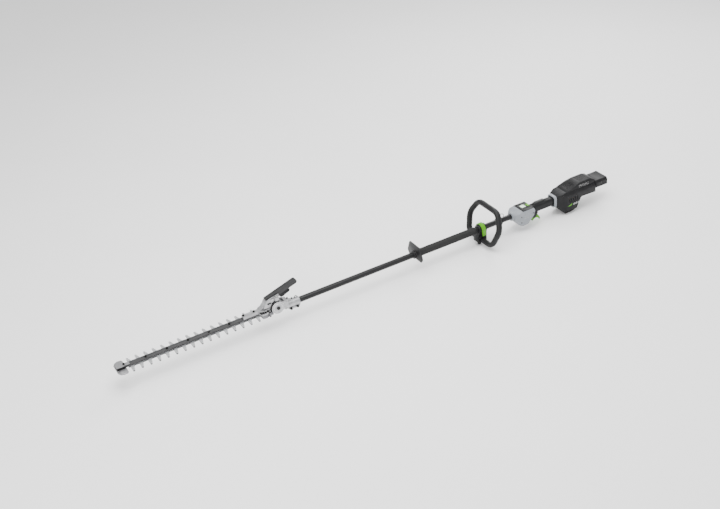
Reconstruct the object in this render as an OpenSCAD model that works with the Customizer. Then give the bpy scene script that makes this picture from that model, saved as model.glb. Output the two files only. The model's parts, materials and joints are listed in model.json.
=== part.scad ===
/* [Overall] */
// Overall length, tip guard to battery dock
total_len = 2355; // [2340:1:2380]
// Height of the shaft axis above the lowest point, the motor foot
axis_h = 76; // [76:1:80]
/* [Cutting head] */
// Spacing of the blade teeth along the bar
tooth_pitch = 35; // [34:0.5:36]
// Teeth on each side of each blade
teeth_per_side = 16; // [12:1:16]
// Distance of a tooth tip from the bar's middle line
tooth_reach = 45.5; // [40:0.5:47]
// Travel of each blade to either side of its middle place
blade_stroke = 8.75; // [6:0.25:8.75]
// Thickness of one blade
blade_t = 2.4; // [2:0.1:2.4]
// Width of the bar that carries the blades
bar_w = 23; // [20:0.5:24]
/* [Shaft] */
// Outer radius of the shaft tube
tube_r = 12.4; // [12:0.1:12.6]
// Wall of the shaft tube
tube_wall = 1.6; // [1.2:0.1:2]
// Radius of the drive shaft inside the tube
drive_r = 3.5; // [3:0.1:3.6]
// Radius of the foam grip
foam_r = 17; // [15:0.5:18]
/* [Loop handle] */
// Half height of the loop bar's section
loop_bar_r = 12; // [10:0.5:12.5]
// Rearward lean of the loop
loop_lean = 18; // [12:1:20]
// Half width of the loop at its widest, to the bar's middle
loop_half_w = 111; // [104:1:113]
/* [Powerhead] */
// Half width of the motor housing
motor_hw = 45; // [43:0.5:46]
// Wall of the plastic shells
wall = 3; // [2.5:0.1:3.2]
// Half width of the control housing
control_hw = 41; // [39:0.5:43]
// Half width of the rear handle
handle_hw = 18; // [17:0.5:19]

/* [Hidden] */
$fn = 48;
tip_x = total_len / 2;
gap = 0.3;
// Cutting head, as distances behind the tip and heights over the shaft axis
first_tooth = 60;
bolt_first = 34;
bolt_pitch = 2.5 * tooth_pitch;
bar_z0 = 8;
bar_z1 = 14;
lower_z = 2.5;
upper_z = lower_z + blade_t + gap;
arm_bolts = [534, 580];
bar_bolt_places = concat([for (i = [0:5]) bolt_first + bolt_pitch * i], arm_bolts);
crank_s = 618;
tilt_s = 676;
tilt_z = 18;
crank_pin_r = 2.5;
window_x = 2 * blade_stroke + crank_pin_r + gap;
window_y = blade_stroke + crank_pin_r + gap;
yoke_hw = 16;
cheek_y0 = 14.4;
cheek_y1 = 20;
pinion_drop = 1;
index_r = 33;
index_t = 3;
lock_pin_y = 21.5;
lever_rise = 17;
neck_front = 711;
neck_rear = 778;
gear_s0 = 715;
gear_s1 = 721;
tube_front = 724;
tube_rear = 2092;
bush_places = [740, 1010, 1280, 1550, 1820, 2060];
// Handles and controls
stop_s = 1336;
foam_s0 = 1350;
foam_s1 = 1645;
loop_s = 1690;
clamp_s0 = 1660;
clamp_s1 = 1697;
cam_pivot = [-24.5, -5];
cam_ears = [1664, 1688];
ring_z = 20.9;
ring_lie = 75;
ring_s = 1775;
panel_s0 = 1881;
panel_s1 = 1941;
panel_z = 26.5;
trigger_pivot = [1962, -36];
lock_off_pivot = [1966, 17.8];
handle_s0 = 1942;
motor_s0 = 2070;
motor_s1 = 2285;
nose_s = 2078;
stator_s0 = 2128;
stator_s1 = 2176;

// Places children at a distance behind the tip, to the left and over the shaft axis
module place(s, y = 0, z = 0) {
    translate([tip_x - s, y, axis_h + z]) children();
}
// Extrudes a (y, z) section along the shaft between two distances behind the tip
module along_x(s0, s1) {
    translate([tip_x - s1, 0, axis_h]) rotate([90, 0, 90]) linear_extrude(s1 - s0) children();
}
// Extrudes an (s, z) side view across the tool
module across_y(y0, y1) {
    translate([tip_x, y1, axis_h]) rotate([90, 0, 0]) linear_extrude(y1 - y0) mirror([1, 0]) children();
}
// Extrudes an (s, y) plan view upwards
module up_z(z0, z1) {
    translate([tip_x, 0, axis_h + z0]) linear_extrude(z1 - z0) mirror([1, 0]) children();
}
module rod_x(r, s0, s1, y = 0, z = 0) {
    place(s1, y, z) rotate([0, 90, 0]) cylinder(r = r, h = s1 - s0);
}
module rod_y(r, y0, y1, s, z) {
    place(s, y1, z) rotate([90, 0, 0]) cylinder(r = r, h = y1 - y0);
}
module rod_z(r, z0, z1, s, y = 0) {
    place(s, y, z0) cylinder(r = r, h = z1 - z0);
}
module hex_z(r, z0, z1, s, y = 0) {
    place(s, y, z0) cylinder(r = r, h = z1 - z0, $fn = 6);
}
module round_rect(w, h, r) {
    square([w - 2 * r, h], center = true);
    square([w, h - 2 * r], center = true);
    for (i = [-1, 1], j = [-1, 1]) translate([i * (w / 2 - r), j * (h / 2 - r)]) circle(r);
}
// Spur gear outline: a root disc and trapezoid teeth with generous backlash
module spur_2d(teeth, first_angle) {
    pitch_r = teeth / 2;
    circle(pitch_r - 1);
    for (i = [0:teeth - 1]) rotate(first_angle + i * 360 / teeth)
        polygon([[pitch_r - 1.4, -0.75], [pitch_r + 0.8, -0.3], [pitch_r + 0.8, 0.3],
            [pitch_r - 1.4, 0.75]]);
}
// Bevel gear with its apex at the origin and its axis along +Z: root cone and straight ribs, all drawn
// inwards by drop
module bevel(teeth, mate_teeth, first_angle, drop = 0) {
    half_angle = atan(teeth / mate_teeth);
    outer = norm([teeth, mate_teeth]) / 2;
    inner = 0.6 * outer;
    root = (0.6 + drop) / cos(half_angle);
    difference() {
        union() {
            translate([0, 0, inner * cos(half_angle)]) cylinder(r1 = inner * sin(half_angle) - root,
                r2 = outer * sin(half_angle) - root, h = (outer - inner) * cos(half_angle));
            translate([0, 0, outer * cos(half_angle)])
                cylinder(r = outer * sin(half_angle) - root, h = 1.6);
            for (i = [0:teeth - 1]) rotate(first_angle + i * 360 / teeth) rotate([0, half_angle, 0])
                translate([-1.1 - drop, -0.3, inner + 0.1]) cube([1.5, 0.6, outer - inner - 0.2]);
        }
        translate([0, 0, -1]) cylinder(r = 2.65, h = 6);
    }
}

// Points of a closed outline with each corner rounded by its radius, going round clockwise
function unit(v) = v / norm(v);
function round_corner(a, b, c, r, steps) = let (
    u = unit(a - b),
    v = unit(c - b),
    half = acos(u * v) / 2,
    centre = b + unit(u + v) * r / sin(half),
    from = b + u * r / tan(half) - centre,
    sweep = 180 - 2 * half)
    [for (k = [0:steps]) let (t = -sweep * k / steps)
        centre + [from[0] * cos(t) - from[1] * sin(t), from[0] * sin(t) + from[1] * cos(t)]];
// Closed tube with an oval section along a flat outline
module tube_loop(outline, half_across, half_deep, sides) {
    n = len(outline);
    ring_points = [for (i = [0:n - 1]) let (
        along = unit(outline[(i + 1) % n] - outline[(i + n - 1) % n]),
        across = [along[1], -along[0]])
        for (k = [0:sides - 1]) let (a = 360 * k / sides)
            [outline[i][0] + across[0] * half_across * cos(a),
                outline[i][1] + across[1] * half_across * cos(a), half_deep * sin(a)]];
    faces = [for (i = [0:n - 1], k = [0:sides - 1])
        [i * sides + k, ((i + 1) % n) * sides + k, ((i + 1) % n) * sides + (k + 1) % sides,
            i * sides + (k + 1) % sides]];
    polyhedron(points = ring_points, faces = faces, convexity = 6);
}

// ---- Cutting head ----
// Flat guard that keeps the blade tips off walls
module tip_guard() {
    color("gainsboro") up_z(4, 7) difference() {
        polygon([[0, -27], [7, -41], [20, -47], [34, -46], [39, -39], [39, 39], [34, 46], [20, 47],
            [7, 41], [0, 27]]);
        translate([bolt_first, 0]) circle(2.7);
    }
}
// Core block and steel cap between guard and bar
module tip_block() {
    color("black") difference() {
        union() {
            up_z(7, 15.5) translate([19.5, 0]) round_rect(33, 28, 4);
            up_z(15.5, 17.5) translate([19, 0]) round_rect(35, 28, 4);
            across_y(-9, 9) polygon([[30, 14.2], [30, 16], [42, 16], [56, 15.4], [56, 14.2]]);
        }
        up_z(6, bar_z1 + 0.1) translate([41.9, 0]) square([40, bar_w + 0.3], center = true);
        rod_z(2.7, 0, 20, bolt_first);
    }
}
module blade_bar() {
    color("dimgray") difference() {
        up_z(bar_z0, bar_z1) translate([22, -bar_w / 2]) square([592 - 22, bar_w]);
        for (s = bar_bolt_places) rod_z(2.7, 0, 20, s);
    }
}
module bar_bolts() {
    color("black") for (i = [0:len(bar_bolt_places) - 1]) {
        s = bar_bolt_places[i];
        head_z = i == 0 ? 17.5 : i > 5 ? 26 : bar_z1;
        rod_z(2.5, 0.4, head_z, s);
        hex_z(4.6, head_z, head_z + 3.4, s);
    }
}
// Nuts below and spacer sleeves between bar and nuts, which the blades slide along
module bar_nuts() {
    color("silver") for (i = [0:len(bar_bolt_places) - 1]) {
        s = bar_bolt_places[i];
        sleeve_z = i == 0 ? 4 : bar_z0;
        difference() {
            union() {
                hex_z(5.4, -1.6, 1.6, s);
                rod_z(4, 1.6, sleeve_z, s);
            }
            rod_z(2.55, -2, 20, s);
        }
    }
}
// Outline of one tooth from its front root round its tip to its rear root
tooth_tip_r = 3.6;
tooth_points = concat([[-5, 13]],
    [for (a = [180:-22.5:22.5]) [-1.4 + tooth_tip_r * cos(a), tooth_reach - tooth_tip_r * (1 - sin(a))]],
    [[11, 13]]);
// All teeth of one side, in order along the bar
row_points = [for (i = [0:teeth_per_side - 1], p = tooth_points) p + [first_tooth + tooth_pitch * i, 0]];
row_last = len(row_points) - 1;
// Blade: a strip with teeth both sides, guide slots, and an open yoke over the crank
module blade(z0) {
    difference() {
        union() {
            up_z(z0, z0 + blade_t) polygon(concat([[48.5, -10], [48.5, 10], [51, 13]], row_points,
                [[600, 13], [600, -13]],
                [for (i = [0:row_last]) [row_points[row_last - i][0], -row_points[row_last - i][1]]],
                [[51, -13]]));
            up_z(z0, z0 + blade_t) translate([crank_s, 0])
                square([2 * window_x + 8, 2 * yoke_hw], center = true);
        }
        up_z(z0 - 1, z0 + blade_t + 1) {
            for (i = [1:len(bar_bolt_places) - 1]) translate([bar_bolt_places[i], 0])
                round_rect(2 * blade_stroke + 9.5, 9, 4.45);
            translate([crank_s, 0]) square([2 * window_x, 2 * window_y], center = true);
        }
    }
}
module blade_upper() {
    color("silver") blade(upper_z);
}
module blade_lower() {
    color("gainsboro") blade(lower_z);
}
// Plan of the gearbox: arm, round crank case and narrower neck
module gearbox_plan(grow) {
    translate([crank_s, 0]) circle(27 + grow);
    translate([crank_s, -19.5 - grow]) square([655 - crank_s + grow / 2, 39 + 2 * grow]);
}
module gearbox_upper() {
    color("gainsboro") difference() {
        union() {
            // arm over the bar
            along_x(530, crank_s) polygon([[-11.5, bar_z1], [11.5, bar_z1], [9, 26], [-9, 26]]);
            up_z(bar_z0, 16) gearbox_plan(0);
            up_z(16, 26) translate([crank_s, 0]) circle(22);
            // raised tunnel for the output shaft
            along_x(crank_s, 655) polygon([[-16, 14], [-16, 25], [-10, 31], [10, 31], [16, 25], [16, 14]]);
            // drum cheeks on the tilt axis, joined to the tunnel
            for (m = [-1, 1]) across_y(m > 0 ? 11.6 : -14.2, m > 0 ? 14.2 : -11.6) {
                translate([tilt_s, tilt_z]) circle(19);
                polygon([[655.6, 2], [676, -1], [676, 37], [650, 31], [650, 8], [655.6, 8]]);
            }
            across_y(-14.2, 14.2) polygon([[655.6, 2], [657, 2], [659, 10], [659, 31], [648, 31], [648, 8],
                [655.6, 8]]);
        }
        // room for the bar end, crank gear and pinion
        up_z(0, bar_z1 + 0.01) translate([560, -bar_w / 2 - 0.1]) square([32.3, bar_w + 0.2]);
        rod_z(22.5, 0, 13.2, crank_s);
        up_z(0, bar_z0 + 0.2) translate([crank_s - 20, -yoke_hw - 1]) square([54, 2 * yoke_hw + 2]);
        rod_x(8.2, 627, 648, 0, tilt_z);
        rod_x(7, 645, 652, 0, tilt_z);
        rod_x(3.4, 640, 670, 0, tilt_z);
        rod_z(4.2, 0, 20, crank_s);
        rod_y(3.1, -20, 20, tilt_s, tilt_z);
        for (s = arm_bolts) rod_z(2.7, 0, 30, s);
        for (i = [0:2]) rod_y(3.02, 15, 30, 602 + 9 * i, 19);
        for (m = [-1, 1]) {
            rod_z(2.02, 7, 12, 639, m * 22);
            rod_z(4.6, 16, 27, 632, m * 21);
        }
    }
}
module gearbox_lower() {
    color("darkgray") difference() {
        union() {
            intersection() {
                up_z(-8, bar_z0 - 0.1) gearbox_plan(0);
                up_z(-9, 9) translate([605, -40]) square([60, 80]);
            }
            for (m = [-1, 1]) rod_z(4.5, -8, bar_z0 - 0.1, 639, m * 22);
        }
        up_z(-5, 9) intersection() {
            gearbox_plan(-3);
            translate([600, -40]) square([60, 80]);
        }
        up_z(1.8, 9) translate([600, -yoke_hw - 1]) square([53.2, 2 * yoke_hw + 2]);
        for (m = [-1, 1]) rod_z(2.1, -9, 9, 639, m * 22);
        rod_z(2.2, -9, 9, 652, 0);
    }
    color("darkgray") difference() {
        rod_z(10.5, -5, -1, crank_s);
        rod_z(8, -6, 0, crank_s);
    }
}
module gearbox_bolts() {
    color("black") {
        for (m = [-1, 1]) {
            rod_z(2, -8, 12, 639, m * 22);
            hex_z(3.8, -11, -8, 639, m * 22);
            rod_z(4.5, 16, 19, 632, m * 21);
        }
        // case screws on the left flank
        for (i = [0:2]) rod_y(3, 15, 29, 602 + 9 * i, 19);
    }
}
// Crown gear with two opposite crank pins on an upright shaft
module crank_gear() {
    color("silver") {
        rod_z(4, -4.8, 15, crank_s);
        difference() {
            union() {
                rod_z(20, 8.6, 10.7, crank_s);
                for (i = [0:35]) place(crank_s, 0, 10.5) rotate(5 + 10 * i)
                    translate([16.8, -0.5, 0]) cube([2.8, 1, 2.2]);
            }
            rod_z(3, 8, 11, crank_s);
        }
        for (m = [-1, 1]) rod_z(crank_pin_r, lower_z, 8.7, crank_s, m * blade_stroke);
    }
}
// Pinion, shaft and bevel that turn with the head
module output_shaft() {
    color("silver") {
        place(637.5, 0, tilt_z) rotate([0, 90, 0]) linear_extrude(2.6) spur_2d(12, 0);
        rod_x(3, 634, 667, 0, tilt_z);
        place(tilt_s, 0, tilt_z) rotate([0, 90, 0]) rotate(90) bevel(12, 18, 15, pinion_drop);
    }
}
module head_bearings() {
    color("silver") {
        difference() {
            rod_z(8, -5, -1, crank_s);
            rod_z(4.05, -6, 0, crank_s);
        }
        difference() {
            rod_x(7, 646, 651, 0, tilt_z);
            rod_x(3.05, 645, 652, 0, tilt_z);
        }
    }
}
module idler_bevel() {
    color("silver") place(tilt_s, 0, tilt_z) rotate([90, 0, 0]) difference() {
        bevel(18, 12, 0);
        cylinder(r = 2.65, h = 30, center = true);
    }
}
module pivot_bolt() {
    color("dimgray") {
        rod_y(2.5, -24, 28.5, tilt_s, tilt_z);
        rod_y(7, 27.2, 31, tilt_s, tilt_z);
        rod_y(6.5, -24, -20, tilt_s, tilt_z);
    }
}
// Toothed quadrant that the lock pin drops into, a notch every 10 degrees
module index_plate() {
    color("dimgray") across_y(cheek_y1, cheek_y1 + index_t) translate([tilt_s, tilt_z]) difference() {
        union() {
            circle(19.5);
            intersection() {
                circle(index_r);
                polygon([[0, 0], [-40, -14], [-60, 30], [-30, 60], [19, 44]]);
            }
        }
        circle(2.7);
        for (a = [-10:10:110]) rotate(180 - a) translate([index_r - 4.2, 0]) {
            circle(2.4);
            translate([0, -2.4]) square([8, 4.8]);
        }
    }
}
module pivot_cap() {
    color("silver") difference() {
        union() {
            rod_y(27, cheek_y1 + index_t, 25.4, tilt_s, tilt_z);
            rod_y(19, 25.4, 27.2, tilt_s, tilt_z);
        }
        rod_y(2.7, 18, 30, tilt_s, tilt_z);
    }
}
// Takes the drive up from the shaft axis to the tilt axis
module transfer_shaft() {
    color("silver") {
        place(gear_s1, 0, tilt_z) rotate([0, 90, 0]) linear_extrude(gear_s1 - gear_s0) spur_2d(18, 10);
        rod_x(3, 685, 724, 0, tilt_z);
        place(tilt_s, 0, tilt_z) rotate([0, -90, 0]) rotate(90) bevel(12, 18, 15);
    }
}
// Side view of one neck cheek, from the tilt hub to the gear case
module cheek_2d() {
    translate([tilt_s, tilt_z]) circle(19.8);
    polygon([[676, 37.8], [714, 31], [714, 4], [692, 12], [676, 12]]);
}
// Wire ring on top of the neck that guides a cable or cord
module cable_ring() {
    place(766, 0, 20) rotate([90, 0, 0]) rotate_extrude() translate([6, 0]) circle(1.4, $fn = 20);
}
module neck_yoke() {
    color("silver") difference() {
        union() {
            across_y(cheek_y0, cheek_y1) cheek_2d();
            across_y(-cheek_y1, -cheek_y0) cheek_2d();
            along_x(gear_s0 - 1, tube_front) {
                translate([0, 14]) round_rect(40, 34, 5);
                circle(17);
            }
            rod_x(17, tube_front - 1, neck_rear);
            // ears of the pinch clamp
            across_y(-12, 12) polygon([[724, -14], [730, -22], [774, -22], [778, -14]]);
            across_y(-4, 4) polygon([[720, 16], [724, 30], [748, 19], [776, 17], [776, 10], [724, 10]]);
        }
        rod_x(tube_r + 0.02, tube_front, neck_rear + 1);
        rod_x(10.6, gear_s0 - 2, tube_front + 1);
        rod_x(10.6, gear_s0 - 2, gear_s1 + 0.6, 0, tilt_z);
        along_x(gear_s0 - 2, gear_s1 + 0.6) translate([-9, 0]) square([18, tilt_z]);
        rod_x(3.05, gear_s1, gear_s1 + 3.2, 0, tilt_z);
        across_y(-1.2, 1.2) polygon([[726, -10], [726, -24], [780, -24], [780, -10]]);
        for (s = [736, 765]) rod_y(2.6, -13, 13, s, -18);
        rod_y(2.7, -21, 21, tilt_s, tilt_z);
        rod_z(3.52, 28, 40, 729);
        rod_z(3.52, 19, 40, 748);
        cable_ring();
    }
}
module neck_cover() {
    color("silver") difference() {
        along_x(neck_front, gear_s0 - 1) {
            translate([0, 14]) round_rect(40, 34, 5);
            circle(16);
        }
        rod_x(3.05, neck_front - 1, gear_s0, 0, tilt_z);
        across_y(-cheek_y1 - 1, -cheek_y0 + 0.1) polygon([[700, 40], [715, 40], [715, 3], [700, 3]]);
        across_y(cheek_y0 - 0.1, cheek_y1 + 1) polygon([[700, 40], [715, 40], [715, 3], [700, 3]]);
    }
}
module neck_bolts() {
    color("black") {
        for (s = [736, 765]) {
            rod_y(2.5, -16, 12, s, -18);
            rod_y(4.8, 12, 17, s, -18);
            rod_y(5, -16, -12, s, -18);
        }
        rod_z(3.5, 28, 31.4, 729);
        rod_z(3.5, 19, 22, 748);
        cable_ring();
    }
}
module lever_bracket() {
    color("gainsboro") difference() {
        union() {
            across_y(-12, 12) polygon([[602, 26], [612, 34], [624, 46], [632, 60], [650, 66], [690, 74],
                [690, 56], [672, 52], [658, 44], [649.9, 31.1], [617.9, 31.1], [617.9, 26]]);
            across_y(12, 18.5) polygon([[616, 31.1], [624, 46], [634, 62], [668, 62], [668, 55], [654, 46],
                [646, 31.1]]);
            across_y(12, 26) polygon([[668, 54], [684, 54], [684, 70], [668, 66]]);
        }
        // oval window in the side plate
        across_y(11, 20) translate([643, 48]) round_rect(18, 10, 4.9);
        rod_z(2.1, 50, 72, tilt_s, lock_pin_y);
        across_y(-9.5, 9.5) lever_2d();
    }
}
// Side view of the lever grip: straight, rising to the rear, with a round end
module lever_2d() {
    translate([636, 57]) rotate(lever_rise) {
        translate([0, -9]) square([138, 20]);
        translate([138, 1]) circle(10);
        translate([20, -11]) square([40, 4]);
    }
}
module lever_handle() {
    color("dimgray") difference() {
        across_y(-9.5, 9.5) lever_2d();
        // pocket for the trigger
        across_y(-6.6, 6.6) polygon([[690, 52], [690, 70], [752, 88], [756, 70]]);
        across_y(-6.6, 6.6) translate([697, 63]) circle(7.5);
        rod_y(1.55, -12, 12, 697, 63);
    }
    color("gray") rod_y(1.5, -9.5, 9.5, 697, 63);
}
module lock_trigger() {
    color("black") difference() {
        across_y(-6, 6) {
            translate([697, 63]) circle(6);
            polygon([[696, 57], [702, 50], [712, 50], [742, 63], [744, 70], [738, 72], [700, 68]]);
        }
        rod_y(1.6, -12, 12, 697, 63);
    }
}
// Lock pin in its lifted place, just clear of the notches
module lock_pin() {
    color("silver") {
        rod_z(2, tilt_z + index_r + gap, 72, tilt_s, lock_pin_y);
        rod_z(3.6, 72, 75, tilt_s, lock_pin_y);
    }
}

// ---- Shaft ----
module shaft_tube() {
    color([0.16, 0.16, 0.16]) difference() {
        rod_x(tube_r, tube_front, tube_rear);
        rod_x(tube_r - tube_wall, tube_front - 1, tube_rear + 1);
    }
}
module drive_shaft() {
    color("silver") {
        rod_x(drive_r, gear_s0, 2100);
        place(gear_s1, 0, 0) rotate([0, 90, 0]) linear_extrude(gear_s1 - gear_s0) spur_2d(18, 0);
    }
}
module drive_bushes() {
    color("darkorange") for (s = bush_places) difference() {
        rod_x(tube_r - tube_wall, s, s + 14);
        rod_x(drive_r + 0.05, s - 1, s + 15);
    }
}
// Plate that keeps the hand from sliding towards the blades
module hand_stop() {
    color("black") difference() {
        union() {
            along_x(stop_s, stop_s + 5) polygon([[-36, 48], [36, 48], [42, 43], [57, 4], [57, -6],
                [47, -20], [-47, -20], [-57, -6], [-57, 4], [-42, 43]]);
            rod_x(18, stop_s - 9, stop_s + 13);
        }
        rod_x(tube_r + 0.02, stop_s - 12, stop_s + 20);
    }
}
module foam_grip() {
    color([0.2, 0.2, 0.2]) difference() {
        rod_x(foam_r, foam_s0, foam_s1);
        rod_x(tube_r + 0.02, foam_s0 - 1, foam_s1 + 1);
    }
}
// Loop handle, in its own leaning plane
module in_loop_plane() {
    place(loop_s, 0, 0) rotate([90 - loop_lean, 0, 90]) children();
}
// Corners of the loop's middle line, clockwise from the top left, with their radii
loop_corners = [[-70, 98], [70, 98], [loop_half_w, 30], [86, -52], [-86, -52], [-loop_half_w, 30]];
loop_radii = [44, 44, 60, 34, 34, 60];
loop_outline = [for (i = [0:5]) each round_corner(loop_corners[(i + 5) % 6], loop_corners[i],
    loop_corners[(i + 1) % 6], loop_radii[i], 7)];
module loop_handle() {
    color("black") in_loop_plane() tube_loop(loop_outline, loop_bar_r, loop_bar_r + 2, 24);
}
// Clamp between loop and shaft, with hinge ears for the quick lever on its right side
module loop_clamp() {
    color("black") difference() {
        union() {
            rod_x(20, clamp_s0, clamp_s1);
            across_y(-17, 17) polygon([[clamp_s0, 0], [clamp_s1, 0], [clamp_s1, -58], [1678, -62],
                [1658, -62], [1650, -56], [1650, -34]]);
            for (s0 = cam_ears) along_x(s0, s0 + 5) {
                translate(cam_pivot) circle(5);
                polygon([[-28.4, -5], [-17, -16], [-14, 8], [-22, 1]]);
            }
        }
        rod_x(tube_r + 0.05, clamp_s0 - 12, clamp_s1 + 12);
        in_loop_plane() translate([-40, -52, 0]) rotate([0, 90, 0]) cylinder(r = loop_bar_r + 2.1, h = 80);
        rod_x(2.02, 1650, 1700, cam_pivot[0], cam_pivot[1]);
    }
}
module clamp_knobs() {
    color("black") {
        for (m = [-1, 1]) rod_y(6, m > 0 ? 17 : -24, m > 0 ? 24 : -17, 1661, -31);
        rod_z(7, -74, -62, 1668);
        rod_x(2, cam_ears[0], cam_ears[1] + 5, cam_pivot[0], cam_pivot[1]);
    }
}
// Quick lever: an arch over the clamp from its hinge on the right to a finger tab on the left
module cam_lever() {
    color("limegreen") difference() {
        union() {
            along_x(cam_ears[0] + 5 + gap, cam_ears[1] - gap) difference() {
                circle(26);
                circle(22);
                translate([-30, -64]) square([60, 60]);
            }
            along_x(cam_ears[0] + 5 + gap, cam_ears[1] - gap)
                polygon([[22.2, 2], [25.7, 2], [28, -24], [25, -25], [21.7, -4]]);
            rod_x(4.6, cam_ears[0] + 5 + gap, cam_ears[1] - gap, cam_pivot[0], cam_pivot[1]);
        }
        rod_x(2.08, 1650, 1700, cam_pivot[0], cam_pivot[1]);
    }
}
module harness_clamp() {
    color("black") difference() {
        union() {
            rod_x(17.5, ring_s - 10, ring_s + 10);
            across_y(-4, 4) translate([ring_s, 18]) square(16, center = true);
            across_y(-9, 9) translate([ring_s, -15.5]) square([16, 11], center = true);
        }
        rod_x(tube_r + 0.02, ring_s - 12, ring_s + 12);
        rod_y(2.8, -6, 6, ring_s, ring_z);
        across_y(-1, 1) translate([ring_s, -16]) square([18, 16], center = true);
    }
    color("silver") rod_y(2.5, -12, 12, ring_s, -17.6);
}
// Steel ring for the carrying strap
module harness_ring() {
    color("silver") place(ring_s, 0, ring_z) rotate([0, -ring_lie, 0]) translate([0, 0, 12.4])
        rotate([90, 0, 90]) rotate_extrude() translate([12.4, 0]) circle(1.8);
}

// ---- Control housing ----
module control_side() {
    polygon([[1843, 14], [1881, 26], [1941, 26], [1945, 14], [1938, -8], [1923, -24], [1905, -42],
        [1877, -43], [1858, -34], [1846, -16]]);
}
module control_side_inner() {
    polygon([[1848, 11], [1882, 22], [1940, 22], [1941, 13], [1934, -6], [1920, -21], [1903, -38],
        [1879, -39], [1862, -31], [1850, -14]]);
}
// One shell of the control housing; left is m = 1
module control_shell(m) {
    difference() {
        intersection() {
            union() {
                across_y(-control_hw, control_hw) control_side();
                rod_x(20, 1838, 1850);
            }
            place(1890, m * 50, 0) cube([140, 100, 140], center = true);
        }
        difference() {
            across_y(-control_hw + wall, control_hw - wall) control_side_inner();
            for (k = [-1, 1]) {
                along_x(1830, 1960) polygon([[k * 27, 30], [k * 45, 30], [k * 45, 4], [k * 37, 8]]);
                up_z(-60, 40)
                    polygon([[1830, k * 50], [1876, k * 50], [1866, k * 35], [1843, k * 18], [1830, k * 18]]);
            }
        }
        rod_x(tube_r + 0.02, 1830, 1960);
        rod_x(tube_r + 0.5, 1900, 1960);
        // seat of the top panel
        up_z(22.8, 40) translate([(panel_s0 + panel_s1) / 2, 0]) square([60.2, 68.4], center = true);
        up_z(15, 40) translate([(panel_s0 + panel_s1) / 2, 0]) square([58.6, 60.4], center = true);
        // corner chamfers
        for (k = [-1, 1]) along_x(1830, 1960)
            polygon([[k * 31, 30], [k * 45, 30], [k * 45, 8], [k * control_hw, 12]]);
        for (k = [-1, 1]) up_z(-60, 40)
            polygon([[1830, k * 50], [1872, k * 50], [1862, k * 38], [1840, k * 22], [1830, k * 22]]);
    }
}
module control_left() {
    color("lightslategray") control_shell(1);
}
module control_right() {
    color("slategray") control_shell(-1);
}
module control_panel() {
    color([0.15, 0.15, 0.15]) difference() {
        up_z(23, panel_z) translate([(panel_s0 + panel_s1) / 2, 0]) square([60, 68], center = true);
        up_z(24.4, 30) translate([1908.5, -4.5]) round_rect(21.2, 21.2, 2);
        up_z(20, 30) translate([1933.5, -2]) round_rect(13.6, 20.6, 3);
    }
}
module display_lens() {
    color("palegreen") up_z(24.4, panel_z - 0.2) translate([1908.5, -4.5]) round_rect(21, 21, 2);
}
module power_button() {
    color("limegreen") {
        up_z(22.2, panel_z + 1.6) translate([1933.5, -2]) round_rect(13, 20, 3);
    }
}
module control_board() {
    color("darkgreen") {
        up_z(16.4, 18) translate([1911, 0]) square([48, 60], center = true);
        up_z(18, 20) translate([1933.5, -2]) square([6, 6], center = true);
    }
}

// ---- Rear handle ----
module handle_section(r_w, r_h) {
    round_rect(2 * r_w, 2 * r_h, 13);
}
module handle_shell(m) {
    difference() {
        intersection() {
            union() {
                along_x(handle_s0, motor_s0 + 14) handle_section(handle_hw, 20);
                across_y(-handle_hw + 1, handle_hw - 1)
                    polygon([[1942, -15], [1942, -34], [1952, -40], [1966, -40], [1980, -18]]);
            }
            place(2010, m * 50, 0) cube([200, 100, 140], center = true);
        }
        along_x(handle_s0 - 1, motor_s0 + 20) handle_section(handle_hw - wall, 20 - wall);
        // slots for the trigger below and the lock lever above
        across_y(-6.5, 6.5) polygon([[1947, -10], [1947, -50], [2012, -50], [2012, -10]]);
        across_y(-6.5, 6.5) polygon([[1956, 12], [1956, 30], [2032, 30], [2032, 12]]);
        for (p = [trigger_pivot, lock_off_pivot]) rod_y(1.52, -30, 30, p[0], p[1]);
        across_y(-30, 30) control_side();
    }
}
module handle_left() {
    color([0.2, 0.2, 0.2]) handle_shell(1);
}
module handle_right() {
    color([0.17, 0.17, 0.17]) handle_shell(-1);
}
module handle_screws() {
    color("silver") {
        rod_y(1.5, -handle_hw + 0.5, handle_hw - 0.5, trigger_pivot[0], trigger_pivot[1]);
        rod_y(1.5, -11.5, 11.5, lock_off_pivot[0], lock_off_pivot[1]);
        for (s = [2036, 2052]) rod_y(2.6, handle_hw, handle_hw + 1.2, s, -6);
        for (s = [1864, 1930], z = [8, -20]) if (s < 1900 || z > 0)
            rod_y(2.6, control_hw, control_hw + 1, s + 6, z - 4);
    }
}
module trigger() {
    color("limegreen") difference() {
        across_y(-6, 6) {
            translate(trigger_pivot) circle(6);
            polygon([[1957, -39], [1955, -50], [1953, -59], [1957, -61.5], [1965, -55], [1975, -52],
                [1985, -54], [1992, -60], [1995, -66], [1999.5, -64.5], [1998, -56], [1991, -45], [1976, -26],
                [1966, -30]]);
        }
        rod_y(1.6, -10, 10, trigger_pivot[0], trigger_pivot[1]);
    }
}
module trigger_switch() {
    color("darkred") across_y(-6.4, 6.4) translate([1986, -19.6]) square([25.8, 6.6]);
}
module lock_off_lever() {
    color("gray") difference() {
        union() {
            rod_y(4, -6, 6, lock_off_pivot[0], lock_off_pivot[1]);
            across_y(-6, 6) polygon([[1962.4, 19], [1965, 24], [1976, 27.5], [2018, 27.5], [2026, 23],
                [2026, 20], [1969, 16]]);
        }
        rod_y(1.58, -10, 10, lock_off_pivot[0], lock_off_pivot[1]);
    }
}

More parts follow.
